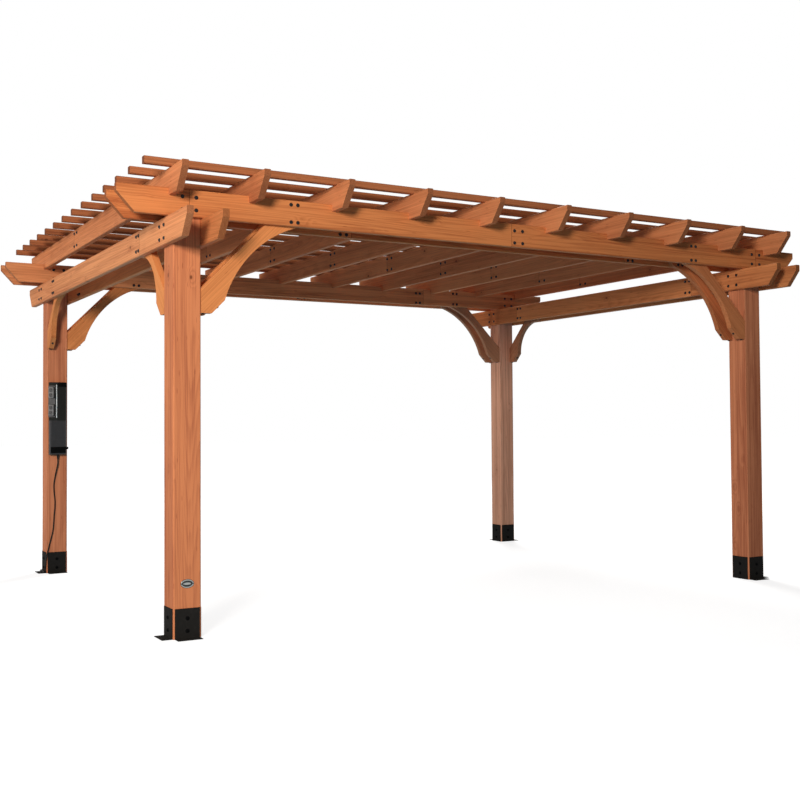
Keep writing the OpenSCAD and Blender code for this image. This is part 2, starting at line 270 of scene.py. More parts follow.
def stained_timber(name, grain, light, dark, seed, numbering, figure=1.0):
    """Stained softwood whose grain runs along X after the turn that grain gives.

    Growth rings are the contour lines of a noise that is drawn out along the grain, so they make
    long lines on the faces and curves on the ends. Knots and flecks are the middles of a few drawn-out
    cells, and knots push the rings aside. Fibres, bands and streaks are drawn-out noises of three
    widths. Faces that look along the grain are darker and speckled. numbering gives each piece its own
    draw, and the dark line where two pieces meet. figure is the strength of the lines.
    """
    finish = new_finish(name)
    tree = finish.node_tree
    coordinates = put(tree, "TexCoord")
    place = coordinates.outputs["Object"]
    number, seam = numbering(tree, place)
    number = calc(tree, "ADD", number, seed)
    draw = put(tree, "TexWhiteNoise", {"W": number}, noise_dimensions="1D")
    chance = draw.outputs["Value"]
    turned_place = put(tree, "Mapping", {"Vector": place, "Rotation": grain}).outputs[0]
    far = put(tree, "VectorMath", {0: draw.outputs["Color"], 1: DRAW_SHIFT},
              operation="MULTIPLY").outputs[0]
    spot = put(tree, "VectorMath", {0: turned_place, 1: far}, operation="ADD").outputs[0]
    facing = put(tree, "Mapping", {"Vector": coordinates.outputs["Normal"], "Rotation": grain},
                 vector_type="VECTOR").outputs[0]
    lengthways = calc(tree, "ABSOLUTE", put(tree, "SeparateXYZ", {0: facing}).outputs[0])
    end_grain = between(tree, lengthways, *END_GRAIN)

    def stretched(along, across):
        return put(tree, "Mapping", {"Vector": spot, "Scale": (along, across, across)}).outputs[0]

    def drawn_out(along, across, detail, roughness=0.5):
        sockets = {"Vector": stretched(along, across), "Scale": 1.0}
        sockets.update({"Detail": detail, "Roughness": roughness})
        return put(tree, "TexNoise", sockets).outputs[0]

    def cells(along, across, share):
        sockets = {"Vector": stretched(along, across), "Scale": 1.0, "Randomness": 1.0}
        cell = put(tree, "TexVoronoi", sockets)
        pick = put(tree, "SeparateColor", {0: cell.outputs["Color"]}).outputs[0]
        return cell.outputs["Distance"], calc(tree, "LESS_THAN", pick, share)

    def swing(noise, weight):
        return calc(tree, "MULTIPLY", calc(tree, "SUBTRACT", noise, 0.5), weight)

    away, kept = cells(*KNOT_CELLS)
    knot = calc(tree, "MULTIPLY", between(tree, away, *KNOT_EDGE), kept)
    around = calc(tree, "MULTIPLY", between(tree, away, *KNOT_REACH), kept)
    away, kept = cells(*FLECK_CELLS)
    fleck = calc(tree, "MULTIPLY", between(tree, away, *FLECK_EDGE), kept)

    rings = calc(tree, "MULTIPLY", drawn_out(*RING_NOISE), RINGS)
    wobble = calc(tree, "MULTIPLY", drawn_out(*WOBBLE_NOISE), RING_WOBBLE)
    pushed = calc(tree, "MULTIPLY", around, KNOT_PUSH)
    phase = calc(tree, "FRACT", calc(tree, "ADD", calc(tree, "ADD", rings, wobble), pushed))
    rise = between(tree, phase, RING_START, RING_PEAK)
    fall = between(tree, phase, RING_PEAK, 1.0, 1.0, 0.0)
    ring_line = calc(tree, "MULTIPLY", rise, fall)
    fibre = drawn_out(*FIBRE_NOISE)
    swings = (
        (fibre, FIBRE_TONE),
        (drawn_out(*BAND_NOISE), BAND_TONE * figure),
        (drawn_out(*STREAK_NOISE), STREAK_TONE * figure),
        (drawn_out(*MOTTLE_NOISE), MOTTLE_TONE),
        (chance, STICK_TONE),
    )

    ring_tone = RING_TONE * figure
    depth = calc(tree, "MULTIPLY_ADD", ring_line, ring_tone, BASE_TONE - ring_tone / 2)
    for noise, weight in swings:
        depth = calc(tree, "ADD", depth, swing(noise, weight))
    depth = calc(tree, "MULTIPLY_ADD", fleck, FLECK_TONE, depth)
    depth = calc(tree, "MULTIPLY_ADD", around, KNOT_REACH_TONE, depth, clamp=True)
    colour = blend_colours(tree, depth, light, dark)
    pores = between(tree, drawn_out(*PORE_NOISE), *PORES)
    sawn = calc(tree, "MULTIPLY", end_grain, pores)
    colour = blend_colours(tree, sawn, colour, darker(dark, END_SHADE))
    marks = calc(tree, "MULTIPLY", knot, KNOT_TONE)
    if seam is not None:
        marks = calc(tree, "MAXIMUM", marks, calc(tree, "MULTIPLY", seam, SEAM_TONE))
    colour = blend_colours(tree, marks, colour, darker(dark, MARK_SHADE))

    rough = between(tree, fibre, *TIMBER_ROUGHNESS)
    relief = calc(tree, "MULTIPLY_ADD", ring_line, RING_RELIEF, fibre)
    surface(finish, relief, strength=0.30, depth=0.0008,
            Base_Color=colour, Roughness=rough, Specular_IOR_Level=0.04)
    return finish


# Steps of the number from one piece of a stick to the next
NEXT_SPLICED = 7.13
NEXT_OF_PAIR = 5.37
NEXT_ROW = 3.71

# Span over which a seam's dark line comes in
SEAM_EDGE = (0.0020, 0.0008)


def one_piece(tree, place):
    """A single stick has the same number all over."""
    return 0.0, None


def spliced(axis, seams, depth_axis, middle, shows):
    """Numbers the pieces of a half-lapped board: one more for each seam that lies before the point.

    The seam shifts by the lap where the point is deeper than the board's middle, seen from the
    side that shows gives.
    """
    def number(tree, place):
        parts = put(tree, "SeparateXYZ", {0: place}).outputs
        deep = calc(tree, "LESS_THAN" if shows > 0 else "GREATER_THAN", parts[depth_axis], middle)
        count, line = 0.0, 0.0
        for seam, shift in seams:
            edge = calc(tree, "MULTIPLY_ADD", deep, shift, seam)
            away = calc(tree, "SUBTRACT", parts[axis], edge)
            count = calc(tree, "ADD", calc(tree, "GREATER_THAN", away, 0.0), count)
            near = between(tree, calc(tree, "ABSOLUTE", away), *SEAM_EDGE)
            line = calc(tree, "MAXIMUM", near, line)
        return calc(tree, "MULTIPLY", count, NEXT_SPLICED), line
    return number


def pair(axis, middle):
    """Numbers two sticks on either side of a middle plane."""
    def number(tree, place):
        parts = put(tree, "SeparateXYZ", {0: place}).outputs
        second = calc(tree, "GREATER_THAN", parts[axis], middle)
        return calc(tree, "MULTIPLY", second, NEXT_OF_PAIR), None
    return number


def rows(axis, first, pitch):
    """Numbers sticks that lie side by side at an even pitch."""
    def number(tree, place):
        parts = put(tree, "SeparateXYZ", {0: place}).outputs
        steps = calc(tree, "DIVIDE", calc(tree, "SUBTRACT", parts[axis], first), pitch)
        return calc(tree, "MULTIPLY", calc(tree, "ROUND", steps), NEXT_ROW), None
    return number


# Light and dark tone of each kind of stick
POST_STAIN = from_screen(214, 133, 92), from_screen(164, 92, 62)
NEAR_POST_STAIN = from_screen(211, 128, 83), from_screen(158, 84, 57)
# The far post's tones are the post stain made paler and greyer: painted haze over the far corner.
FAR_POST_PAINTED_HAZE = from_screen(230, 167, 134), from_screen(182, 124, 95)
BEAM_STAIN = from_screen(214, 130, 75), from_screen(167, 90, 50)
BACK_BEAM_STAIN = from_screen(228, 148, 96), from_screen(180, 105, 65)
TIE_STAIN = from_screen(230, 152, 100), from_screen(182, 108, 69)
ORANGE_TIE_STAIN = from_screen(222, 139, 84), from_screen(172, 98, 57)
BRACE_STAIN = from_screen(224, 140, 81), from_screen(176, 99, 55)
# The front right braces' tones are the brace stain made darker: painted shade for the weaker light at
# the right.
RIGHT_BRACE_PAINTED_SHADE = from_screen(208, 127, 78), from_screen(160, 88, 52)
# The back right braces' tones are the brace stain made duller and darker: painted shade from the roof
# over that corner.
FAR_BRACE_PAINTED_SHADE = from_screen(190, 130, 94), from_screen(146, 92, 64)
RAFTER_STAIN = from_screen(222, 139, 89), from_screen(168, 96, 60)
SLAT_STAIN = from_screen(178, 106, 66), from_screen(130, 72, 43)

# Corners whose posts or braces have tones of their own: the near post a darker stain, the far post
# painted haze, and the right braces painted shade
CORNER_POST_TONES = {("front", "left"): NEAR_POST_STAIN, ("back", "right"): FAR_POST_PAINTED_HAZE}
CORNER_BRACE_PAINTED_SHADES = {("front", "right"): RIGHT_BRACE_PAINTED_SHADE, ("back", "right"): FAR_BRACE_PAINTED_SHADE}

# Strength of the lines where it isn't 1
POST_FIGURE = 1.2
BEAM_FIGURE = 1.3
BRACE_FIGURE = 0.7
RAFTER_FIGURE = 0.75

# The first seed, and its steps from one stick to the next
FIRST_SEED = 11.0
POST_STEP = 13.7
BEAM_BRACE_STEP = 1.9
TIE_BRACE_STEP = 3.3
BEAM_STEP = 9.1
TIE_STEP = 8.3
RAFTER_STEP = 6.7
SLAT_STEP = 5.9


def dress(node, finish):
    """The node's object shows this finish all over."""
    slots = NODES[node].material_slots
    if not slots:
        NODES[node].data.materials.append(finish)
        return
    for slot in slots:
        slot.material = finish


def dress_timber():
    """Each stick gets a finish of its own, with its grain along it and its own draw."""
    seed = FIRST_SEED
    for end, side in ENDS:
        for hand, _ in HANDS:
            seed += POST_STEP
            # The far post's tones are painted haze; the near post's are its own darker stain.
            tones = CORNER_POST_TONES.get((end, hand), POST_STAIN)
            dress(f"{end}_{hand}_post",
                  stained_timber(f"post_{end}_{hand}", ALONG_Z, *tones, seed,
                                 one_piece, POST_FIGURE))
            # The right braces' tones are the brace stain with painted shade.
            tones = CORNER_BRACE_PAINTED_SHADES.get((end, hand), BRACE_STAIN)
            lean = LEAN_RIGHT if hand == "left" else LEAN_LEFT
            dress(f"{end}_{hand}_beam_braces",
                  stained_timber(f"beam_brace_{end}_{hand}", lean, *tones, seed + BEAM_BRACE_STEP,
                                 pair(1, side * POST_Y), BRACE_FIGURE))
            lean = LEAN_BACK if end == "front" else LEAN_FRONT
            dress(f"{end}_{hand}_tie_brace",
                  stained_timber(f"tie_brace_{end}_{hand}", lean, *tones, seed + TIE_BRACE_STEP,
                                 one_piece, BRACE_FIGURE))
        tones = BEAM_STAIN if end == "front" else BACK_BEAM_STAIN
        for place, seams in (("outer", OUTER_BEAM_SEAMS), ("inner", INNER_BEAM_SEAMS)):
            node = f"{end}_{place}_beam"
            shows = side if place == "outer" else -side
            pieces = spliced(0, seams, 1, centre(node, 1), shows)
            seed += BEAM_STEP
            dress(node, stained_timber(f"beam_{end}_{place}", ALONG_X, *tones, seed,
                                       pieces, BEAM_FIGURE))
    for hand, side in HANDS:
        for place in ("outer", "inner"):
            node = f"{hand}_{place}_tie"
            shows = side if place == "outer" else -side
            pieces = spliced(1, TIE_SEAMS, 0, centre(node, 0), shows)
            seed += TIE_STEP
            tones = TIE_STAIN if node == "left_outer_tie" else ORANGE_TIE_STAIN
            dress(node, stained_timber(f"tie_{hand}_{place}", ALONG_Y, *tones, seed, pieces))
    for i in RAFTERS:
        node = f"rafter_{i}"
        pieces = spliced(1, RAFTER_SEAMS, 0, centre(node, 0), -1)
        seed += RAFTER_STEP
        dress(node, stained_timber(node, ALONG_Y, *RAFTER_STAIN, seed, pieces, RAFTER_FIGURE))
    slat_rows = rows(1, SLAT_FIRST, SLAT_PITCH)
    for node in ("front_slats", "back_slats"):
        seed += SLAT_STEP
        dress(node, stained_timber(node, ALONG_X, *SLAT_STAIN, seed, slat_rows))


dress_timber()


# Metal, plastic and rubber

# Span of each noise over which specks come in, and how much of the speck's colour they take
FINE_SPAN, FINE_SHARE = (0.42, 0.72), 0.6
BROAD_SPAN, BROAD_SHARE = (0.45, 0.75), 0.35
BROAD_STEPS = 25
ROUGHNESS_SWING = 0.06

# Steps in a metre of the scratches along X, Y and Z
SCRATCHES = (60.0, 900.0, 2600.0)


def grained(name, colour, speck, roughness, scale, bump, gloss=0.25):
    """A coated or moulded surface: a fine even grain in the colour, the gloss and the relief."""
    finish = new_finish(name)
    tree = finish.node_tree
    place = put(tree, "TexCoord").outputs["Object"]
    fine = put(tree, "TexNoise", {"Vector": place, "Scale": scale, "Detail": 3.0}).outputs[0]
    coarse = scale / BROAD_STEPS
    broad = put(tree, "TexNoise", {"Vector": place, "Scale": coarse, "Detail": 2.0}).outputs[0]
    share = calc(tree, "MULTIPLY", between(tree, fine, *FINE_SPAN), FINE_SHARE)
    share = calc(tree, "MULTIPLY_ADD", between(tree, broad, *BROAD_SPAN), BROAD_SHARE, share)
    tint = blend_colours(tree, share, (*colour, 1.0), (*speck, 1.0))
    smoothest, roughest = roughness - ROUGHNESS_SWING, roughness + ROUGHNESS_SWING
    rough = between(tree, broad, 0.3, 0.7, smoothest, roughest)
    surface(finish, fine, strength=bump, depth=0.0006,
            Base_Color=tint, Roughness=rough, Specular_IOR_Level=gloss)
    return finish


def brushed(name, colour, shade, roughness):
    """Bright metal with fine scratches drawn out along X."""
    finish = new_finish(name)
    tree = finish.node_tree
    place = put(tree, "TexCoord").outputs["Object"]
    drawn = put(tree, "Mapping", {"Vector": place, "Scale": SCRATCHES}).outputs[0]
    lines = put(tree, "TexNoise", {"Vector": drawn, "Scale": 1.0, "Detail": 3.0}).outputs[0]
    tint = blend_colours(tree, between(tree, lines, 0.3, 0.7), (*shade, 1.0), (*colour, 1.0))
    rough = between(tree, lines, 0.3, 0.7, roughness + 0.08, roughness - 0.05)
    surface(finish, lines, strength=0.12, depth=0.0002,
            Base_Color=tint, Roughness=rough, Metallic=1.0)
    return finish


BLACK_COAT = grained("black_coat", (0.015, 0.0135, 0.012), (0.026, 0.023, 0.020),
                     roughness=0.78, scale=900.0, bump=0.22, gloss=0.02)
BOLT_BLACK = grained("bolt_black", (0.009, 0.008, 0.008), (0.024, 0.021, 0.019),
                     roughness=0.45, scale=1500.0, bump=0.15, gloss=0.18)
HOUSING_BLACK = grained("housing_black", (0.007, 0.0075, 0.006), (0.014, 0.0145, 0.012),
                        roughness=0.5, scale=1300.0, bump=0.18, gloss=0.1)
BOX_BLACK = grained("box_black", (0.012, 0.012, 0.013), (0.024, 0.024, 0.025),
                    roughness=0.46, scale=1300.0, bump=0.18)
OUTLET_GREY = grained("outlet_grey", (0.17, 0.155, 0.145), (0.24, 0.225, 0.21),
                      roughness=0.50, scale=1100.0, bump=0.12)
FACE_GREY = grained("face_grey", (0.070, 0.064, 0.060), (0.110, 0.102, 0.096),
                    roughness=0.50, scale=1100.0, bump=0.12)
PALE_STRIP_GREY = grained("pale_strip_grey", (0.60, 0.60, 0.58), (0.70, 0.70, 0.68),
                    roughness=0.45, scale=1200.0, bump=0.05)
# Near black for the black parts, and painted shade where it stands for the dark inside the outlets'
# slots and holes
BLACK_AND_SLOT_SHADE = grained("black_and_slot_shade", (0.003, 0.003, 0.003), (0.006, 0.006, 0.006),
                     roughness=0.70, scale=1200.0, bump=0.10, gloss=0.02)
CORD_BLACK = grained("cord_black", (0.008, 0.007, 0.006), (0.016, 0.013, 0.011),
                     roughness=0.62, scale=1600.0, bump=0.25, gloss=0.10)
PLATE_FIELD = grained("plate_field", (0.016, 0.020, 0.020), (0.040, 0.046, 0.046),
                      roughness=0.45, scale=1200.0, bump=0.10)
BADGE_GREY = brushed("badge_grey", (0.42, 0.43, 0.41), (0.28, 0.29, 0.28), roughness=0.34)

for base in ("front_left_base", "front_right_base", "back_left_base", "back_right_base"):
    dress(base, BLACK_COAT)
dress("outlet_housing", HOUSING_BLACK)
dress("lower_case", BOX_BLACK)
dress("cord_gland", CORD_BLACK)
dress("cord_plug", CORD_BLACK)
dress("oval_plate", BADGE_GREY)


# Shapes worked out on grids

MM = 1000
SHARP_ANGLE = math.radians(32.0)


def turned(profile, sides):
    """Loops of a turned shape: row i is a circle of radius r at height h, for each (r, h), in mm."""
    r, h = (np.array(profile, float) / MM).T
    angle = np.linspace(0, 2 * math.pi, sides, endpoint=False)
    ring = np.stack([np.cos(angle), np.sin(angle), np.zeros(sides)], -1)
    return r[:, None, None] * ring[None] + h[:, None, None] * np.array([0.0, 0.0, 1.0])


def rounded_slab(width, height, corner, depth, edge, arc=5):
    """Loops of a plate with round corners: the outline is a corner circle carried to each corner.

    The rows go from the back up the side and then in by the edge, which eases the front. In mm.
    """
    degrees = np.arange(4)[:, None] * 90 + np.linspace(0, 90, arc)[None]
    angle = degrees.reshape(-1) * math.pi / 180
    quarter = np.repeat(np.arange(4), arc) * math.pi / 2 + math.pi / 4
    hand = np.stack([np.sign(np.cos(quarter)), np.sign(np.sin(quarter))], -1)
    middle = hand * (np.array([width, height]) / 2 - corner)
    around = np.stack([np.cos(angle), np.sin(angle)], -1)
    inset = np.array([0, 0, 0.3 * edge, edge], float)
    up = np.array([0, depth - edge, depth - 0.3 * edge, depth], float)
    flat = middle[None] + around[None] * (corner - inset)[:, None, None]
    high = np.broadcast_to(up[:, None, None], flat.shape[:2] + (1,))
    return np.concatenate([flat, high], -1) / MM


def oval(width, height, profile, sides=40):
    """Loops of an oval plate: row i is the ellipse drawn in by the inset at height h, for each
    (inset, h). In mm."""
    inset, h = np.array(profile, float).T
    angle = np.linspace(0, 2 * math.pi, sides, endpoint=False)
    x = (width / 2 - inset)[:, None] * np.cos(angle)
    y = (height / 2 - inset)[:, None] * np.sin(angle)
    return np.stack([x, y, np.broadcast_to(h[:, None], x.shape)], -1) / MM


def loft(loops):
    """Points, quads and end caps of a closed shape through a stack of loops."""
    count, n = loops.shape[:2]
    index = np.arange(count * n).reshape(count, n)
    onward = np.roll(index, -1, axis=1)
    quads = np.stack([index[:-1], onward[:-1], onward[1:], index[1:]], -1).reshape(-1, 4)
    return loops.reshape(-1, 3), quads, np.stack([index[0, ::-1], index[-1]])


def set_out(shape, places, outward, across=(0.36, 0.48, 0.8)):
    """Copies of a shape: copy k has its origin at places[k], its +Z on outward and its +X on the
    part of across that lies square to that."""
    points, quads, caps = shape
    places = np.atleast_2d(np.array(places, float))
    z = np.broadcast_to(np.array(outward, float), places.shape)
    x = np.broadcast_to(np.array(across, float), places.shape)
    z = z / np.linalg.norm(z, axis=1, keepdims=True)
    x = x - np.sum(x * z, axis=1, keepdims=True) * z
    x = x / np.linalg.norm(x, axis=1, keepdims=True)
    frames = np.stack([x, np.cross(z, x), z], 1)
    made = places[:, None] + np.einsum("ni,kij->knj", points, frames)
    step = (np.arange(len(places)) * len(points))[:, None, None]
    all_quads = (quads[None] + step).reshape(-1, 4)
    all_caps = (caps[None] + step).reshape(-1, caps.shape[1])
    return made.reshape(-1, 3), all_quads, all_caps


def joined(shapes):
    """Several shapes as one list of points and one list of faces."""
    points, faces, base = [], [], 0
    for p, quads, caps in shapes:
        points.append(p)
        faces += (quads + base).tolist() + (caps + base).tolist()
        base += len(p)
    return np.concatenate(points), faces


def add_piece(name, shapes, finish):
    """A mesh piece at the origin, riding on the frame, smooth up to the sharp angle."""
    points, faces = joined(shapes)
    mesh = bpy.data.meshes.new(name)
    mesh.from_pydata(points.tolist(), [], faces)
    mesh.update()
    mesh.shade_smooth()
    mesh.set_sharp_from_angle(angle=SHARP_ANGLE)
    mesh.materials.append(finish)
    piece = bpy.data.objects.new(name, mesh)
    scene.collection.objects.link(piece)
    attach(piece, "root")
    return piece


def spots(xs, ys, zs):
    """Every point with its x, y and z from the three lists."""
    grid = np.meshgrid(np.atleast_1d(xs), np.atleast_1d(ys), np.atleast_1d(zs), indexing="ij")
    return np.stack(grid, -1).reshape(-1, 3)


def both(values):
    """The values and the same values with their signs turned."""
    values = np.atleast_1d(values)
    return np.concatenate([-values, values])


# Fasteners

BOLT_HEAD = loft(turned([(10.5, -0.6), (10.5, 1.5), (10.0, 2.2), (8.2, 2.6), (7.6, 4.6), (6.2, 6.2),
                         (4.2, 6.8), (3.6, 6.8), (3.4, 4.2), (0.6, 4.0)], 20))
WASHER = loft(turned([(11.0, -0.6), (11.0, 1.4), (10.5, 2.0), (4.4, 2.0)], 20))
NUT = loft(turned([(8.2, 1.8), (8.6, 2.2), (8.6, 7.2), (8.0, 7.9), (4.4, 7.9)], 6))
STUD = loft(turned([(4.0, 1.0), (4.0, 10.6), (3.4, 11.4), (0.5, 11.4)], 12))
LAG_HEAD = loft(turned([(8.0, -0.4), (8.0, 1.2), (7.4, 1.8), (6.0, 2.0), (5.6, 4.4), (4.4, 5.6),
                        (2.6, 5.9), (2.3, 3.6), (0.5, 3.5)], 16))
BASE_SCREW = loft(turned([(11.0, -0.4), (11.0, 1.6), (10.2, 2.2), (7.4, 2.6), (7.0, 5.2), (5.6, 6.6),
                          (3.2, 6.9), (2.8, 4.4), (0.5, 4.3)], 18))
SMALL_SCREW = loft(turned([(4.6, -1.5), (4.6, -0.35), (4.0, -0.1), (2.2, 0.0), (1.9, -0.8),
                           (0.4, -0.9)], 12))

# Places of the bolts along the boards
POST_BOLT = 0.037
AT_POSTS_X = both(POST_X + both(POST_BOLT))
AT_POSTS_Y = both(POST_Y + both(POST_BOLT))
BEAM_BRACE_X = both([1.456, 1.496])
BRACE_TIP_X = both([1.484, 1.522])
OUTER_SPLICE_X = [-0.009, 0.051]
INNER_SPLICE_X = both([1.063, 1.103])
TIE_SPLICE_Y = both([1.018, 1.060])
RAFTER_SPLICE_Y = [0.337, 0.404]

# Heights of the bolts
BEAM_POST_Z = BEAM_LOW + np.array([0.035, 0.101])
BEAM_BRACE_Z = BEAM_LOW + np.array([0.021, 0.116])
BRACE_TIP_Z = BEAM_LOW + 0.012
OUTER_SPLICE_Z = BEAM_LOW + np.array([0.024, 0.098])
INNER_SPLICE_Z = BEAM_LOW + np.array([0.016, 0.100])
TIE_POST_Z = TIE_LOW + np.array([0.032, 0.101])
TIE_SPLICE_Z = TIE_LOW + np.array([0.029, 0.113])
RAFTER_SPLICE_Z = RAFTER_LOW + np.array([0.028, 0.113])
BASE_SCREW_Z = [0.040, 0.104]

# Thickness of the steel plates round the feet
PLATE_T = 0.003


def fasten():
    """Bolt heads on the show faces, washers and nuts on the faces behind them, and screws."""
    heads, nuts = [], []

    def head(places, outward):
        heads.append(set_out(BOLT_HEAD, places, outward))

    def nut(places, outward):
        for shape in (WASHER, NUT, STUD):
            nuts.append(set_out(shape, places, outward))

    for side in (-1, 1):
        outer, inner = side * BEAM_FACE, side * BEAM_BACK
        out, back = (0, side, 0), (0, -side, 0)
        head(spots(AT_POSTS_X, outer, BEAM_POST_Z), out)
        nut(spots(AT_POSTS_X, inner, BEAM_POST_Z), back)
        head(spots(BEAM_BRACE_X, outer, BEAM_BRACE_Z), out)
        nut(spots(BEAM_BRACE_X, inner, BEAM_BRACE_Z), back)
        head(spots(OUTER_SPLICE_X, outer, OUTER_SPLICE_Z), out)
        nut(spots(OUTER_SPLICE_X, outer - side * BOARD_T, OUTER_SPLICE_Z), back)
        head(spots(INNER_SPLICE_X, inner + side * BOARD_T, INNER_SPLICE_Z), out)
        nut(spots(INNER_SPLICE_X, inner, INNER_SPLICE_Z), back)
        head(spots(BRACE_TIP_X, inner + side * 2 * BOARD_T, BRACE_TIP_Z), out)
    for side in (-1, 1):
        outer, inner = side * TIE_FACE, side * TIE_BACK
        out, back = (side, 0, 0), (-side, 0, 0)
        head(spots(outer, AT_POSTS_Y, TIE_POST_Z), out)
        head(spots(inner, AT_POSTS_Y, TIE_POST_Z), back)
        head(spots(outer, TIE_SPLICE_Y, TIE_SPLICE_Z), out)
        head(spots(inner, TIE_SPLICE_Y, TIE_SPLICE_Z), back)
        nut(spots(inner + side * BOARD_T, TIE_SPLICE_Y, TIE_SPLICE_Z), out)
    left_faces = np.array(RAFTER_X) - BOARD_T / 2
    head(spots(left_faces, RAFTER_SPLICE_Y, RAFTER_SPLICE_Z), (-1, 0, 0))
    nut(spots(left_faces + BOARD_T, RAFTER_SPLICE_Y, RAFTER_SPLICE_Z), (1, 0, 0))
    add_piece("bolt_heads", heads, BOLT_BLACK)
    add_piece("bolt_nuts", nuts, BOLT_BLACK)

    screws = []
    plate_out = POST_W / 2 + PLATE_T
    for sx in (-1, 1):
        for sy in (-1, 1):
            for dx, dy in ((1, 0), (-1, 0), (0, 1), (0, -1)):
                x, y = sx * POST_X + dx * plate_out, sy * POST_Y + dy * plate_out
                screws.append(set_out(BASE_SCREW, spots(x, y, BASE_SCREW_Z), (dx, dy, 0)))
    add_piece("plate_screws", screws, BLACK_AND_SLOT_SHADE)
    slat_y = SLAT_FIRST + SLAT_PITCH * np.arange(SLATS)
    on_slats = spots(RAFTER_X, slat_y, SLAT_TOP)
    add_piece("slat_screws", [set_out(SMALL_SCREW, on_slats, (0, 0, 1))], BOLT_BLACK)


fasten()


# Bolts of the braces

BRACE_FOOT = 0.060
BRACE_LUG = 0.072
FOOT_SCREW = 0.018


def bolt_braces():
    """A lag bolt in the slanted lug of each brace, and a screw up into its foot beside the post."""
    lag_out, lag_z = BRACE_FOOT + BRACE_LUG / 2, BRACE_LOW + BRACE_LUG / 2
    heads = []
    for sx in (-1, 1):
        for sy in (-1, 1):
            post_x, post_y = sx * (POST_X - POST_W / 2), sy * (POST_Y - POST_W / 2)
            outer_x = sx * (POST_X + POST_W / 2 - BOARD_T / 2)
            across = sy * POST_Y + both(POST_W / 2 - BOARD_T / 2)
            for places, outward in (
                (spots(post_x - sx * lag_out, across, lag_z), (-sx, 0, -1)),
                (spots(post_x - sx * FOOT_SCREW, across, BRACE_LOW), (0, 0, -1)),
                (spots(outer_x, post_y - sy * lag_out, lag_z), (0, -sy, -1)),
                (spots(outer_x, post_y - sy * FOOT_SCREW, BRACE_LOW), (0, 0, -1)),
            ):
                heads.append(set_out(LAG_HEAD, places, outward))
    add_piece("brace_lags", heads, BOLT_BLACK)


bolt_braces()


# Ways that flat pieces on a front face look and run
TO_FRONT = (0, -1, 0)
TO_RIGHT = (1, 0, 0)


# Oval plate: profiles in mm, as insets from the outline and heights

EDGE_PROFILE = [(0, 0), (0, 1.2), (0.7, 1.6), (2.0, 1.7), (2.4, 0.9)]
RIM_PROFILE = [(1.8, 0.2), (1.8, 2.0), (2.4, 2.4), (6.4, 2.5), (7.0, 2.0), (7.2, 1.1)]
FIELD_PROFILE = [(7.0, 0.9), (7.0, 1.3), (7.4, 1.4)]
BAR_PROFILE = [(0, 1.2), (0, 1.9), (0.5, 2.2), (1.2, 2.3)]
BAR_WIDTH, BAR_HEIGHT = 38, 12

# Pins: radii and heights in mm, and how far each lies from the plate's end
PIN_PROFILE = [(2.8, 1.8), (2.8, 2.7), (2.0, 3.2), (0.9, 3.3)]
PIN_INSET = 0.0045


def make_badge():
    """A bare oval plate: dark edge, bright raised rim, dark field, a plain bright bar and two pins."""
    low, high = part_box("oval_plate")
    width, height = (high.x - low.x) * MM, (high.z - low.z) * MM
    middle = np.array([(low.x + high.x) / 2, high.y, (low.z + high.z) / 2])

    def on_post(loops, places=middle):
        return set_out(loft(loops), places, TO_FRONT, TO_RIGHT)

    edge = on_post(oval(width, height, EDGE_PROFILE))
    rim = on_post(oval(width, height, RIM_PROFILE))
    field = on_post(oval(width, height, FIELD_PROFILE))
    bar = on_post(oval(BAR_WIDTH, BAR_HEIGHT, BAR_PROFILE))
    ends = width / (2 * MM) - PIN_INSET
    at_ends = middle + np.array([[-ends, 0, 0], [ends, 0, 0]])
    pins = on_post(turned(PIN_PROFILE, 14), at_ends)
    plate = add_piece("plate_rim", [rim, bar], BADGE_GREY)
    add_piece("plate_edge", [edge], BLACK_AND_SLOT_SHADE)
    inlay = add_piece("plate_field", [field], PLATE_FIELD)
    add_piece("plate_pins", [pins], BOLT_BLACK)
    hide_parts("oval_plate")
    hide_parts("oval_plate")


make_badge()


# Outlets and trim of the power box

# Where the housing's slanted side starts before its back, and where it ends from its left side
SLANT_START = 0.022
SLANT_END = 0.050

# Outlets: shares of the housing's height, and places from the middle of the slanted side and of
# each outlet
OUTLET_ROWS = np.array([0.27, 0.73])
OUTLET_BACK = 0.012
SOCKET_UP = 0.019
SLOT_ACROSS = 0.0063
SLOT_UP = 0.004
HOLE_DOWN = 0.008

# How far each layer stands out from the slanted side
COVER_OUT = -0.0005
BODY_OUT = 0.002
FACE_OUT = 0.0178
SLOT_OUT = 0.0192
STRIP_OUT = -0.0004

# How far the strip's middle lies from the front edge of the slanted side
STRIP_INSET = 0.0045

# Width, height, corner, depth and edge of each plate, in mm; the lid and the band have no width here
COVER_MM = (52, 236, 5, 3.0, 1.0)
BODY_MM = (38, 80, 6, 16, 2.0)
FACE_MM = (28, 30, 9, 1.6, 0.6)
SLOT_MM = (2.4, 8.5, 1.0, 0.5, 0.2)
STRIP_MM = (6.5, 248, 1.2, 2.4, 0.6)
LID_MM = (32, 2, 2.2, 0.8)
BAND_MM = (46, 3, 2.2, 0.8)

# Radii and heights of the turned pieces, in mm
HOLE_PROFILE = [(2.4, 0), (2.4, 0.4), (2.0, 0.5)]
KNOB_PROFILE = [(9.0, -0.5), (9.0, 14.0), (8.0, 17.0), (4.0, 18.0), (0.6, 18.0)]

# Lid on the housing's front, and band and knob on the lower case
LID_START = 0.056
LID_DOWN = 0.018
BAND_UP = 0.034
BAND_MARGIN_MM = 8
KNOB_BACK = 0.013
KNOB_UP = 0.048


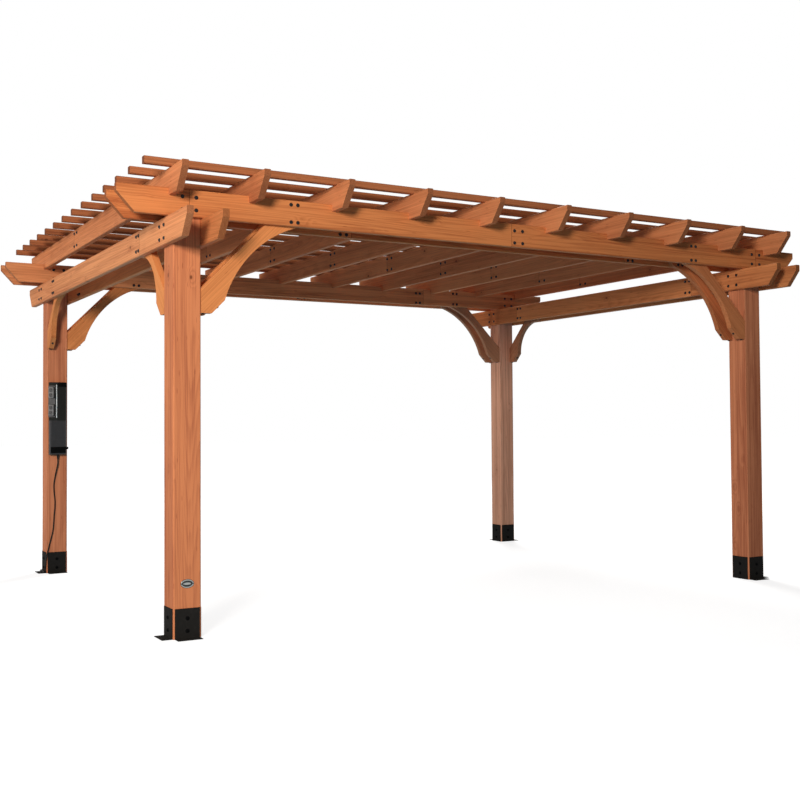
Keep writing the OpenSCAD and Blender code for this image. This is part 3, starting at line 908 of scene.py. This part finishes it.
def dress_power_box():
    """A cover, two outlets and a bright strip on the housing's slanted side, a lid on its front, and
    a band and a knob on the lower case.

    The slanted side runs from the left side to the front; along is the way across it, towards the
    front, and outward its normal.
    """
    low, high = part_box("outlet_housing")
    start = np.array([low.x, high.y - SLANT_START, low.z])
    end = np.array([low.x + SLANT_END, low.y, low.z])
    wide = np.linalg.norm(end - start)
    along = (end - start) / wide
    outward = np.array([along[1], -along[0], 0.0])
    tall = high.z - low.z

    def on_side(loops, across, up, out):
        place = start + across * along + out * outward
        places = [place + [0, 0, z] for z in np.atleast_1d(up)]
        return set_out(loft(loops), places, outward, along)

    middle = wide / 2 - OUTLET_BACK
    rows_z = tall * OUTLET_ROWS
    sockets = (rows_z[:, None] + both(SOCKET_UP)[None]).ravel()
    cover = on_side(rounded_slab(*COVER_MM), middle, tall / 2, COVER_OUT)
    bodies = on_side(rounded_slab(*BODY_MM), middle, rows_z, BODY_OUT)
    faces = on_side(rounded_slab(*FACE_MM), middle, sockets, FACE_OUT)
    slot = rounded_slab(*SLOT_MM)
    hole = turned(HOLE_PROFILE, 14)
    # The slots and the earth hole are near-black patches on the outlet faces: painted shade for the
    # dark inside the openings.
    dark = [on_side(slot, middle + dx, sockets + SLOT_UP, SLOT_OUT) for dx in both(SLOT_ACROSS)]
    dark.append(on_side(hole, middle, sockets - HOLE_DOWN, SLOT_OUT))
    # A pale grey strip along the front edge of the slanted side.
    strip = on_side(rounded_slab(*STRIP_MM), wide - STRIP_INSET, tall / 2, STRIP_OUT)
    add_piece("outlet_bodies", [bodies], OUTLET_GREY)
    add_piece("outlet_faces", [cover, faces], FACE_GREY)
    add_piece("outlet_slot_shade", dark, BLACK_AND_SLOT_SHADE)
    add_piece("outlet_pale_strip", [strip], PALE_STRIP_GREY)

    lid = loft(rounded_slab((high.x - low.x - LID_START) * MM, *LID_MM))
    at_top = [(low.x + LID_START + high.x) / 2, low.y, high.z - LID_DOWN]
    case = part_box("lower_case")[0]
    band = loft(rounded_slab((high.x - case.x) * MM - BAND_MARGIN_MM, *BAND_MM))
    at_foot = [(case.x + high.x) / 2, case.y, case.z + BAND_UP]
    knob = loft(turned(KNOB_PROFILE, 18))
    beside = [high.x, case.y + KNOB_BACK, case.z + KNOB_UP]
    trim = [
        set_out(lid, at_top, TO_FRONT, TO_RIGHT),
        set_out(band, at_foot, TO_FRONT, TO_RIGHT),
        set_out(knob, beside, TO_RIGHT),
    ]
    add_piece("case_trim", trim, BLACK_AND_SLOT_SHADE)


dress_power_box()


# The power box's lead

CORD_D = 0.009
POST_LEFT = -POST_X - POST_W / 2
POST_FRONT = POST_Y - POST_W / 2
GLAND_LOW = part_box("cord_gland")[0].z
GLAND_X, GLAND_Y = centre("cord_gland", 0), centre("cord_gland", 1)
STRAIGHT_OUT = 0.030
CORD_LOW = CORD_D / 2 + 0.0005
CORD_OVER = CORD_LOW + 0.003
ROUTE_END = 0.054
ROUTE_STEPS = 8
COIL_X, COIL_Y = centre("cord_coil", 0), centre("cord_coil", 1)
COIL_R = 0.050
COIL_TURNS = 4
STEPS_A_TURN = 48
SMOOTHING = 15
END_STEPS = 13
PLUG_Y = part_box("cord_plug")[0].y
PLUG_Z = 0.016


def cord_route():
    """The lead's points: from the gland down the post, over the foot flange and round behind the post.

    They are taken from the post's left front corner. Above the foot, a height is a share of the
    gland's.
    """
    gland_x, gland_y = GLAND_X - POST_LEFT, GLAND_Y - POST_FRONT
    down = np.array([
        (gland_x, gland_y, 1.0), (gland_x, gland_y, 1.0 - STRAIGHT_OUT / GLAND_LOW),
        (0.068, -0.024, 0.92), (0.058, -0.015, 0.85), (0.050, -0.010, 0.78), (0.052, -0.009, 0.71),
        (0.058, -0.009, 0.64), (0.058, -0.009, 0.58), (0.053, -0.009, 0.51), (0.050, -0.009, 0.45),
        (0.045, -0.010, 0.38), (0.034, -0.011, 0.32), (0.020, -0.012, 0.26), (0.007, -0.014, 0.20),
        (-0.004, -0.016, 0.14),
    ]) * [1, 1, GLAND_LOW]
    low = np.array([
        (-0.010, -0.016, 0.075), (-0.013, -0.010, 0.040), (-0.014, 0.007, 0.018),
        (-0.013, 0.035, CORD_OVER + 0.001), (-0.012, 0.075, CORD_OVER + 0.0005),
        (-0.012, POST_W - 0.032, CORD_OVER + 0.0005), (-0.012, POST_W + 0.005, CORD_LOW + 0.002),
        (-0.008, POST_W + 0.022, CORD_LOW), (0.0037, POST_W + 0.0367, CORD_LOW),
        (0.021, POST_W + 0.0475, CORD_LOW), (0.0383, POST_W + 0.0583, CORD_LOW),
        (0.050, POST_W + 0.075, CORD_LOW), (ROUTE_END, POST_W + 0.095, CORD_LOW),
    ])
    return np.concatenate([down, low]) + [POST_LEFT, POST_FRONT, 0]


def smooth_line(points, steps):
    """Catmull-Rom curve through the points: each stretch is a cubic of its four nearest points."""
    p = np.concatenate([points[:1], points, points[-1:]])
    a, b, c, d = p[:-3], p[1:-2], p[2:-1], p[3:]
    t = np.linspace(0, 1, steps, endpoint=False)[:, None, None]
    square = (2 * a - 5 * b + 4 * c - d) * t ** 2
    cube = (3 * b - a - 3 * c + d) * t ** 3
    line = 0.5 * (2 * b + (c - a) * t + square + cube)
    return np.concatenate([line.transpose(1, 0, 2).reshape(-1, 3), points[-1:]])


def coil_line():
    """Four turns, two on the ground and two on top of them: the angle falls evenly, the radius and
    the height step smoothly from one turn to the next, and the last turn runs out to the plug."""
    turn = np.linspace(0, COIL_TURNS, COIL_TURNS * STEPS_A_TURN + 1)[1:]
    inner, outer = COIL_R - CORD_D / 2, COIL_R + CORD_D / 2
    lead_in = COIL_X - (POST_LEFT + ROUTE_END)
    high = CORD_LOW + 0.9 * CORD_D
    radius = np.interp(turn, [0, 0.22, 0.95, 1.2, 2.8, 3.1, COIL_TURNS],
                       [lead_in, outer, outer, inner, inner, outer, outer])
    height = np.interp(turn, [0, 1.85, 2.1, COIL_TURNS], [CORD_LOW, CORD_LOW, high, high])
    kernel = np.hanning(SMOOTHING) / np.hanning(SMOOTHING).sum()
    radius, height = (np.convolve(np.pad(v, SMOOTHING // 2, mode="edge"), kernel, "valid")
                      for v in (radius, height))
    angle = math.pi - 2 * math.pi * turn
    x, y = COIL_X + radius * np.cos(angle), COIL_Y + radius * np.sin(angle)
    ring = np.stack([x, y, height], -1)
    t = np.linspace(0, 1, END_STEPS + 1)[1:]
    ease = t * t * (3 - 2 * t)
    x, y = np.full(END_STEPS, COIL_X - outer), COIL_Y + t * (PLUG_Y - COIL_Y)
    end = np.stack([x, y, high + ease * (PLUG_Z - high)], -1)
    return np.concatenate([ring, end])


def make_cord():
    """The lead, a round tube along its route and its coil."""
    line = np.concatenate([smooth_line(cord_route(), ROUTE_STEPS), coil_line()])
    curve = bpy.data.curves.new("supply_lead", "CURVE")
    curve.dimensions = "3D"
    curve.bevel_depth = CORD_D / 2
    curve.bevel_resolution = 3
    curve.use_fill_caps = True
    spline = curve.splines.new("POLY")
    spline.points.add(len(line) - 1)
    spline.points.foreach_set("co", np.concatenate([line, np.ones((len(line), 1))], 1).ravel())
    curve.materials.append(CORD_BLACK)
    lead = bpy.data.objects.new("supply_lead", curve)
    scene.collection.objects.link(lead)
    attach(lead, "root")
    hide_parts("supply_cord", "cord_coil")


make_cord()


# Floor, light and background

FLOOR_HALF = 60.0
FLOOR_Z = -0.0005
FLOOR_PALE = (0.40, 0.40, 0.40, 1)
FLOOR_BOUNCE = (0.265, 0.455, 0.64, 1)
FLOOR_GLOW = (4.0, 12.0, 0.80, 1.0)  # from 4 m to 12 m out, its strength goes from 0.80 to 1
WHITE = (1, 1, 1, 1)
FILL_COLOUR = (0.92, 0.98, 1.06, 1)
FILL_STRENGTH = 0.085

# Name, place, point that it looks at, size, watts and colour of each lamp
LAMPS = (
    ("key", (-6.0, -6.95, 2.88), (-2.4, 0.0, 1.7), 1.3, 540.0, (1.0, 0.97, 0.93)),
    ("side", (-7.6, 2.6, 2.30), (0.5, 0.2, 1.8), 1.6, 140.0, (1.0, 0.97, 0.93)),
    ("back", (4.8, 7.2, 8.00), (0.0, 0.0, 1.8), 3.0, 1000.0, (1.0, 0.98, 0.95)),
)


def seen_directly(tree):
    """1 for what the camera sees, also in gloss or through a surface, and 0 for soft light."""
    path = put(tree, "LightPath").outputs
    seen = calc(tree, "ADD", path["Is Camera Ray"], path["Is Glossy Ray"], clamp=True)
    return calc(tree, "ADD", seen, path["Is Transmission Ray"], clamp=True)


def make_floor():
    """A wide pale floor that keeps the shadow. It glows a little, more so further out, and the light
    that it throws up onto the timber has a tint of its own."""
    mesh = bpy.data.meshes.new("floor")
    around = ((-1, -1), (1, -1), (1, 1), (-1, 1))
    corners = [(x * FLOOR_HALF, y * FLOOR_HALF, FLOOR_Z) for x, y in around]
    mesh.from_pydata(corners, [], [(0, 1, 2, 3)])
    floor = bpy.data.objects.new("floor", mesh)
    scene.collection.objects.link(floor)
    finish = new_finish("floor_pale")
    tree = finish.node_tree
    seen = seen_directly(tree)
    bounce = put(tree, "BsdfDiffuse", {"Color": FLOOR_BOUNCE})
    pale = put(tree, "BsdfDiffuse", {"Color": FLOOR_PALE})
    place = put(tree, "TexCoord").outputs["Object"]
    away = put(tree, "VectorMath", {0: place}, operation="LENGTH").outputs["Value"]
    glow = put(tree, "Emission", {"Color": WHITE, "Strength": between(tree, away, *FLOOR_GLOW)})
    bright = put(tree, "AddShader", {0: pale.outputs[0], 1: glow.outputs[0]})
    mixed = put(tree, "MixShader", {0: seen, 1: bounce.outputs[0], 2: bright.outputs[0]})
    put(tree, "OutputMaterial", {0: mixed.outputs[0]})
    mesh.materials.append(finish)


def make_background():
    """White for the camera and for gloss, and a weak fill for the rest."""
    world = bpy.data.worlds.new("studio")
    scene.world = world
    world.use_nodes = True
    tree = world.node_tree
    tree.nodes.clear()
    seen = seen_directly(tree)
    fill = put(tree, "Background", {"Color": FILL_COLOUR, "Strength": FILL_STRENGTH})
    white = put(tree, "Background", {"Color": WHITE, "Strength": 1.0})
    mixed = put(tree, "MixShader", {0: seen, 1: fill.outputs[0], 2: white.outputs[0]})
    put(tree, "OutputWorld", {0: mixed.outputs[0]})


def soft_box(name, at, towards, size, watts, colour):
    """A square lamp at a place, turned towards a point."""
    data = bpy.data.lights.new(name, "AREA")
    data.shape = "SQUARE"
    data.size = size
    data.energy = watts
    data.color = colour
    z = np.array(at, float) - np.array(towards, float)
    z = z / np.linalg.norm(z)
    x = np.cross([0.0, 0.0, 1.0], z)
    x = x / np.linalg.norm(x)
    add_to_scene(name, data, x, np.cross(z, x), z, at)


make_floor()
make_background()
for lamp in LAMPS:
    soft_box(*lamp)
scene.view_settings.view_transform = "Standard"
